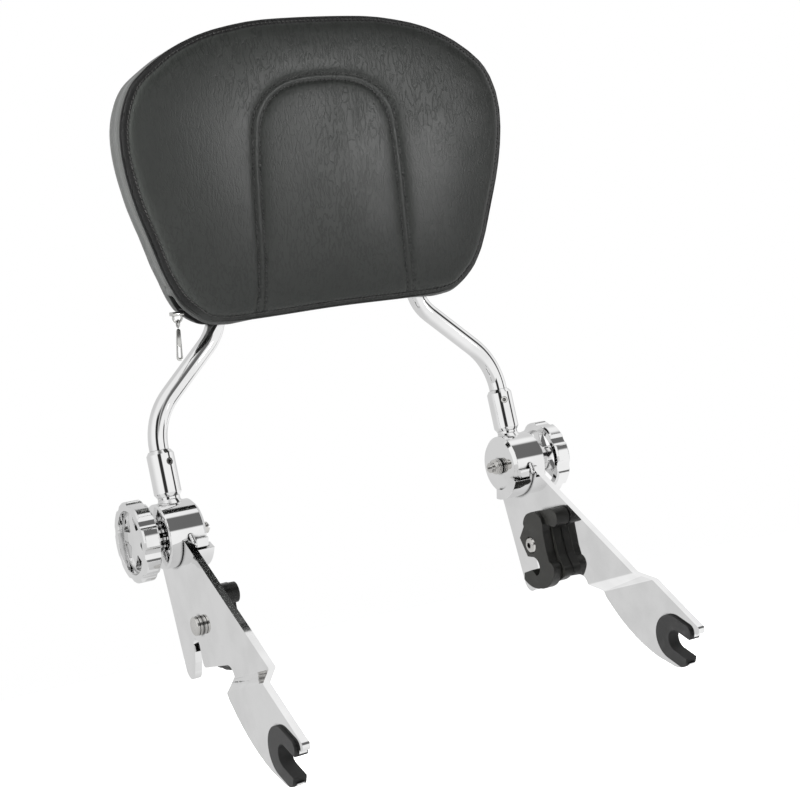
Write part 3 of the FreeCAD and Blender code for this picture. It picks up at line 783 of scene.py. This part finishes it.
def refine(piece):
    centres = np.zeros(len(piece.data.polygons) * 3, np.float32)
    piece.data.polygons.foreach_get("center", centres)
    centres = centres.reshape(-1, 3) / mm
    toSeam = nearest(centres[:, :2], seamLoop, True)[0]
    near = (toSeam < finer["seam"]) | (toRows(centres[:, :2]) < finer["row"])
    fine = (centres[:, 2] > finer["front"]) & near
    fine |= (centres[:, 2] > finer["back"]) & (centres[:, 2] < 0) & (centres[:, 1] < finer["low"])
    chosen = set(np.nonzero(fine)[0].tolist())
    startEdit(piece)
    pick("FACE", lambda face: face.index in chosen)
    bpy.ops.mesh.subdivide(number_cuts=1)
    endEdit()


def trueSides(spots, depth):
    # draws the gusset back to the cut of its pattern, so that the outline has no steps
    away, along = nearest(spots, outline, True)
    away = np.where(inside(spots, outline), away, -away)
    ring = closedUp(outline)
    inner = closedUp(inset(outline, 1.0) - outline)
    lengths = runLengths(ring)
    rings = np.array(pad["rings"][slice(*pad["gussetRings"])])
    cut = np.interp(depth, rings[:, 1], rings[:, 0]) - rings[-1, 0] - atHeight(pad["fuller"], spots[:, 1])
    held = share(depth, *pad["trueBack"]) * share(depth, *pad["trueFront"])
    held = held * share(away, *pad["trueReach"])
    target = away + (cut - away) * held
    at = np.stack([np.interp(along, lengths, ring[:, k]) + np.interp(along, lengths, inner[:, k]) * target
                   for k in (0, 1)], axis=1)
    at[:, 0] += pad["aside"] * share(depth, *pad["asideFrom"])
    return np.where((held > 0.001)[:, None], at, spots)


# A stitch of thread in the sewn rows, in millimetres and degrees
stitch = {"pitch": 3.1, "length": 2.3, "radius": 0.42, "taper": 0.2, "dip": 0.25, "lift": 0.22,
          "turn": 14, "reach": 1.0}


def seamSink(away, along, sink):
    # how deep a row of stitching draws the cover in: a puckered groove in a broad dip
    pucker = 1 - sink["pucker"] + sink["pucker"] * np.cos(2 * math.pi * along / stitch["pitch"])
    return sink["groove"] * bell(away, sink["narrow"]) * pucker + sink["dip"] * bell(away, sink["broad"])


def sinkFront(spots, depth, within, toSeam):
    # draws the front in along its stitching, and lets its edge fall back to the seam
    toBand, alongBand = nearest(spots, bandLoop, True)
    sink = seamSink(toBand, alongBand, pad["bandSink"])
    for row in (outerRow, innerRow):
        sink += seamSink(*nearest(spots, row), pad["rowSink"]) * share(toBand, *pad["rowFade"])
    depth = depth - sink * share(depth, *pad["sinkFront"]) * within
    edge = np.where(inside(spots, bandLoop), 0.0, toBand / np.maximum(toBand + toSeam, 1e-6))
    edge = np.where(within, edge, 1.0)
    return depth - atHeight(pad["fall"], spots[:, 1]) * edge * share(depth, pad["fallFrom"], 0.0)


def cornerHang(spots, depth):
    corner = share(spots[:, 1], *pad["hangUp"]) * share(np.abs(spots[:, 0]), *pad["hangOut"]) ** 3
    return pad["hang"] * corner * share(depth, *pad["hangFront"]) * share(depth, *pad["hangBack"])


def gussetSink(spots, depth, outward):
    # how deep the slanting ends of the channel and the cross seam lie in the gusset
    fromMiddle = np.abs(spots[:, 0])
    slant = share(spots[:, 1], *pad["recessUp"]) * share(fromMiddle, *pad["recessOut"])
    mouth = bell(depth - pad["recessMiddle"], pad["recessHalf"], zipper["squareness"])
    fall = atHeight(pad["fall"], spots[:, 1])
    cross = bell(spots[:, 1] - pad["crossSeam"], pad["crossWidth"]) * share(-depth, fall, fall + 1)
    sink = pad["recess"] * mouth * slant + pad["crossSink"] * cross * (fromMiddle > pad["crossOut"])
    return sink * outward


def buildCushion():
    blank = padBlank()
    applied(blank, "REMESH", mode="VOXEL", voxel_size=pad["voxel"] * mm)
    applied(blank, "SMOOTH", factor=pad["smoothing"], iterations=1)
    swell(blank)
    applied(blank, "SUBSURF", levels=1, render_levels=1)
    refine(blank)

    places = points(blank) / mm
    depth = places[:, 2]
    within = inside(places[:, :2], seamLoop)
    spots = trueSides(places[:, :2], depth)
    toSeam = nearest(spots, seamLoop, True)[0]
    depth = sinkFront(spots, depth, within, toSeam)
    spots[:, 1] -= cornerHang(spots, depth)
    # the floor of the channel that the zipper lies in
    channel = bell(depth - zipper["middle"], zipper["channel"] / 2, zipper["squareness"])
    spots[:, 1] += np.maximum(0, zipper["up"] + zipper["channelUp"] - spots[:, 1]) * channel
    outward = np.where(within, share(toSeam, *pad["edgeReach"]), 1.0)
    inward = -spots / np.maximum(np.linalg.norm(spots, axis=1), 1e-6)[:, None]
    spots = spots + inward * gussetSink(spots, depth, outward)[:, None]
    setPoints(blank, np.column_stack([spots, depth]) * mm)
    return smooth(blank, 80)


cushion = buildCushion()
cushionLookup = BVHTree.FromObject(cushion, bpy.context.evaluated_depsgraph_get())
print("cushion:", len(cushion.data.polygons), "faces")

seamFold = {"radius": 0.8, "sunk": 0.1, "passes": 3, "roundness": 3}


def seamRoll():
    # the folded edge that stands along the front seam
    laid = []
    for x, y in seamLoop[::2]:
        close, normal, _, _ = cushionLookup.find_nearest(Vector((x, y, -atHeight(pad["fall"], y))) * mm)
        laid.append(close - normal * seamFold["sunk"] * mm)
    laid = np.array(laid)
    for _ in range(seamFold["passes"]):
        laid = (np.roll(laid, 1, axis=0) + 2 * laid + np.roll(laid, -1, axis=0)) / 4
    bpy.ops.curve.primitive_nurbs_circle_add(radius=0.1)
    fold = bpy.context.object
    line = fold.data.splines[0]
    line.points.add(len(laid) - len(line.points))
    for point, spot in zip(line.points, laid):
        point.co = (*spot, 1)
    line.use_cyclic_u = True
    line.order_u = 3
    fold.data.bevel_depth = seamFold["radius"] * mm
    fold.data.bevel_resolution = seamFold["roundness"]
    fold.data.resolution_u = seamFold["roundness"]
    selectOnly(fold)
    bpy.ops.object.convert(target="MESH")
    return smooth(named("padSeamRoll"), 60)


def stitchBlank():
    # one thread stitch, a bar with rounded ends that dip into the cover
    bpy.ops.mesh.primitive_cylinder_add(vertices=6, radius=stitch["radius"] * mm,
                                        depth=stitch["length"] * mm, rotation=(0, math.pi / 2, 0))
    bar = settle(bpy.context.object)
    startEdit(bar)
    pick("FACE", lambda face: abs(face.normal.x) > 0.9)
    bpy.ops.mesh.inset(thickness=stitch["taper"] * mm)
    bpy.ops.transform.translate(value=(0, 0, -stitch["dip"] * mm))
    endEdit()
    return bar


def sew(name, line):
    bar = stitchBlank()
    lengths = runLengths(line)
    count = int(lengths[-1] / stitch["pitch"])
    twist = Matrix.Rotation(math.radians(stitch["turn"]), 3, "Z")
    copies = []
    for number in range(count):
        middle = (number + 0.5) / count * lengths[-1]
        start, end = [Vector([np.interp(at, lengths, line[:, k]) for k in (0, 1)]) * mm
                      for at in (middle - stitch["reach"], middle + stitch["reach"])]
        above = ((start + end) / 2).to_3d() + Vector((0, 0, 0.05))
        hit, normal, _, _ = cushionLookup.ray_cast(above, Vector((0, 0, -1)))
        if hit is None:
            continue
        along = (end - start).to_3d()
        along = (along - normal * along.dot(normal)).normalized()
        place = (Matrix((along, normal.cross(along), normal)).transposed() @ twist).to_4x4()
        place.translation = hit + normal * stitch["lift"] * mm
        copies.append(copied(bar, place))
    bpy.data.objects.remove(bar)
    return smooth(joined(copies, name), 60)


roll = seamRoll()
stitches = [sew("padTopstitch", closedUp(bandLoop)), sew("padOuterStitching", outerRow),
            sew("padInnerStitching", innerRow)]
for piece in [cushion, roll]:
    settle(piece, padFrame)
    dress(piece, coverVinyl, "backrest")
for piece in stitches:
    settle(piece, padFrame)
    dress(piece, thread, "backrest")
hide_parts("pad_cushion")
print("pad sewn")


# Zipper along the pad's lower edge

def zipTape():
    length = zipper["end"] - zipper["start"]
    middle = (zipper["start"] + zipper["end"]) / 2
    tape = startBlock("zipperTape", (length, zipper["tape"], zipper["width"]))
    bpy.ops.transform.translate(value=(middle * mm, (zipper["up"] - zipper["tape"] / 2) * mm,
                                       zipper["middle"] * mm))
    bpy.ops.mesh.bevel(offset=zipper["tapeBevel"] * mm, segments=1)
    endEdit()
    return smooth(tape, 30)


def zipTeeth():
    # one moulded tooth, copied in two meshing rows
    tooth = startBlock("zipperTooth", zipper["tooth"])
    bpy.ops.mesh.bevel(offset=zipper["toothBevel"] * mm, segments=1)
    endEdit()
    low = zipper["up"] - zipper["tape"] - zipper["tooth"][1] / 2 + zipper["toothSunk"]
    length = zipper["end"] - zipper["start"] - 2 * zipper["bareEnd"]
    copies = []
    for number in range(int(length / zipper["toothPitch"] * 2) + 1):
        across = zipper["start"] + zipper["bareEnd"] + number * zipper["toothPitch"] / 2
        aside = zipper["toothAside"] if number % 2 else -zipper["toothAside"]
        place = Matrix.Translation(Vector((across, low, zipper["middle"] + aside)) * mm)
        copies.append(copied(tooth, place))
    bpy.data.objects.remove(tooth)
    return smooth(joined(copies, "zipperTeeth"), 30)


tape = settle(zipTape(), padFrame)
dress(tape, tapeWeave, "backrest")
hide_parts("zipper_tape")
teeth = settle(zipTeeth(), padFrame)
dress(teeth, toothPlastic, "backrest")
print("zipper laid")

slider = {"long": 8.6, "wide": 6.4, "waist": 4.2, "high": 2.6, "thinner": 0.8, "bevel": 0.7, "gap": 0.1,
          "wire": 0.75, "loop": 3.0, "loopLonger": 1.1, "loopUp": -101.9}


def zipSlider():
    # a flat block that narrows towards one end, and a wire loop under it
    low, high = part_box("zipper_slider")
    across = (low.x + high.x) / 2
    body = startBlock("zipperSlider", (slider["long"], slider["high"], slider["wide"]))
    pick("FACE", lambda face: face.normal.x > 0.9)
    bpy.ops.transform.resize(value=(1, slider["thinner"], slider["waist"] / slider["wide"]))
    bpy.ops.mesh.select_all(action="SELECT")
    bpy.ops.mesh.bevel(offset=slider["bevel"] * mm, segments=3)
    endEdit()
    top = zipper["up"] - zipper["tape"] - zipper["tooth"][1] - slider["gap"]
    settle(body, Matrix.Translation((across, (top - slider["high"] / 2) * mm, zipper["middle"] * mm)))
    bpy.ops.mesh.primitive_torus_add(major_radius=slider["loop"] * mm, minor_radius=slider["wire"] * mm,
                                     major_segments=32, minor_segments=10)
    wire = bpy.context.object
    wire.scale.x = slider["loopLonger"]
    settle(wire, Matrix.Translation((across, slider["loopUp"] * mm, zipper["middle"] * mm)))
    for piece in (body, wire):
        settle(piece, padFrame)
    return smooth(joined([body, wire], "zipperSlider"), 45)


runner = dress(zipSlider(), nickel, "zip_slider")
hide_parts("zipper_slider")

# Across the tag at its top and low end, and the ends of its slot as parts of its half length
pull = {"top": 2.6, "low": 4.4, "thick": 1.0, "bevel": 0.22, "straightness": 2.2,
        "slotWide": 1.9, "slotHigh": -0.12, "slotLow": -0.82,
        "aboveTag": 6.0, "eyeRadius": 2.2, "eyeWire": 0.6, "eyeDown": 2.9, "hingeDown": 2.0, "lean": 9.0}


def tagRim(name, length):
    # the outer rim of the tag or of its slot, a circle drawn out to a rounded oblong
    bpy.ops.mesh.primitive_circle_add(vertices=32, radius=1, rotation=(math.pi / 2, 0, 0))
    rim = settle(named(name))
    places = points(rim)
    if name == "slot":
        wide = pull["slotWide"] / 2 * mm
        up = np.interp(places[:, 2], [-1, 1], [pull["slotLow"], pull["slotHigh"]]) * length / 2
    else:
        wide = np.interp(places[:, 2], [-1, 1], [pull["low"] / 2, pull["top"] / 2]) * mm
        up = places[:, 2] * length / 2
    across = np.clip(places[:, 0] * pull["straightness"], -1, 1) * wide
    setPoints(rim, np.column_stack([across, np.zeros(len(places)), up]))
    return rim


def zipPull():
    # a flat tapered tag with a slot near its low end, hanging in the slider's bail
    low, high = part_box("zipper_pull")
    middle = (low + high) / 2
    length = high.z - low.z - pull["aboveTag"] * mm
    tag = joined([tagRim("rim", length), tagRim("slot", length)], "zipperTag")
    startEdit(tag)
    bpy.ops.mesh.bridge_edge_loops()
    endEdit()
    applied(tag, "SOLIDIFY", thickness=pull["thick"] * mm, offset=0)
    applied(tag, "BEVEL", width=pull["bevel"] * mm, segments=2, angle_limit=math.radians(50))
    startEdit(tag)
    faceOut()
    endEdit()
    settle(tag, Matrix.Translation((middle.x, middle.y, low.z + length / 2)))
    bpy.ops.mesh.primitive_torus_add(major_radius=pull["eyeRadius"] * mm,
                                     minor_radius=pull["eyeWire"] * mm,
                                     major_segments=28, minor_segments=10, rotation=(0, math.pi / 2, 0),
                                     location=(middle.x, middle.y, high.z - pull["eyeDown"] * mm))
    eye = settle(bpy.context.object)
    tag = joined([tag, eye], "zipperPull")
    hinge = Vector((middle.x, middle.y, high.z - pull["hingeDown"] * mm))
    settle(tag, Matrix.Translation(hinge) @ Matrix.Rotation(math.radians(pull["lean"]), 4, "Y")
           @ Matrix.Translation(-hinge))
    return smooth(tag, 45)


hanger = dress(zipPull(), nickel, "zip_pull")
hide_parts("zipper_pull")
print("zipper pull hung")


# Hub details

studCut = {"pitch": 1.5, "height": 0.55, "root": 0.42, "crest": 0.12, "sunk": 0.2, "tip": 4.9, "gap": 0.2,
           "steps": 28}


def studThread(side):
    # the thread that shows on the clamp stud between its tip and the drum
    low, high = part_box(side + "_clamp_stud")
    middle = (low + high) / 2
    drumLow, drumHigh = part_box(side + "_hub_drum")
    sign = 1 if side == "right" else -1
    start = (low.x if sign > 0 else high.x) + sign * studCut["tip"] * mm
    face = drumLow.x if sign > 0 else drumHigh.x
    length = abs(face - start) - studCut["gap"] * mm
    turns = length / (studCut["pitch"] * mm)
    # the ridge's cross-section, turned round the stud
    bpy.ops.mesh.primitive_plane_add(size=1 * mm)
    ridge = named(side + "StudThread")
    root = (high.z - low.z) / 2 - studCut["sunk"] * mm
    top = (high.z - low.z) / 2 + studCut["height"] * mm
    half = studCut["pitch"] * studCut["root"] * mm
    crest = studCut["crest"] * mm
    setPoints(ridge, np.array([(-half, root, 0), (half, root, 0), (-crest, top, 0), (crest, top, 0)]))
    startEdit(ridge)
    bpy.ops.mesh.delete(type="ONLY_FACE")
    endEdit()
    steps = int(studCut["steps"] * turns)
    applied(ridge, "SCREW", axis="X", angle=2 * math.pi * turns, screw_offset=length, steps=steps,
            render_steps=steps)
    startEdit(ridge)
    bpy.ops.mesh.remove_doubles(threshold=0.00001)
    pick("EDGE", lambda edge: edge.is_boundary)
    bpy.ops.mesh.edge_face_add()
    faceOut()
    endEdit()
    ridge.location = (start if sign > 0 else start - length, middle.y, middle.z)
    return smooth(settle(ridge), 30)


# Drops of weld that run down from the start on the right side, each a step on
weld = {"drops": 5, "start": (131.6, 108.9, 132.1), "step": (-0.15, -0.5, -1.35), "radius": 1.5,
        "uneven": (-0.25, 0.35), "voxel": 0.35, "seed": 5}


def weldBead(side):
    # a short uneven run of weld where the stop cup's rim meets the plate
    sign = 1 if side == "right" else -1
    random.seed(weld["seed"])
    drops = []
    for number in range(weld["drops"]):
        x, y, z = ((start + step * number) * mm for start, step in zip(weld["start"], weld["step"]))
        radius = (weld["radius"] + random.uniform(*weld["uneven"])) * mm
        bpy.ops.mesh.primitive_uv_sphere_add(segments=14, ring_count=9, radius=radius,
                                             location=(sign * x, y, z))
        drops.append(settle(bpy.context.object))
    bead = joined(drops, side + "WeldBead")
    applied(bead, "REMESH", mode="VOXEL", voxel_size=weld["voxel"] * mm)
    applied(bead, "SMOOTH", factor=0.5, iterations=3)
    return smooth(bead, 60)


for side in ("left", "right"):
    dress(studThread(side), steel, side + "_clamp")
    dress(weldBead(side), chrome, side + "_mount")
print("hub details done")
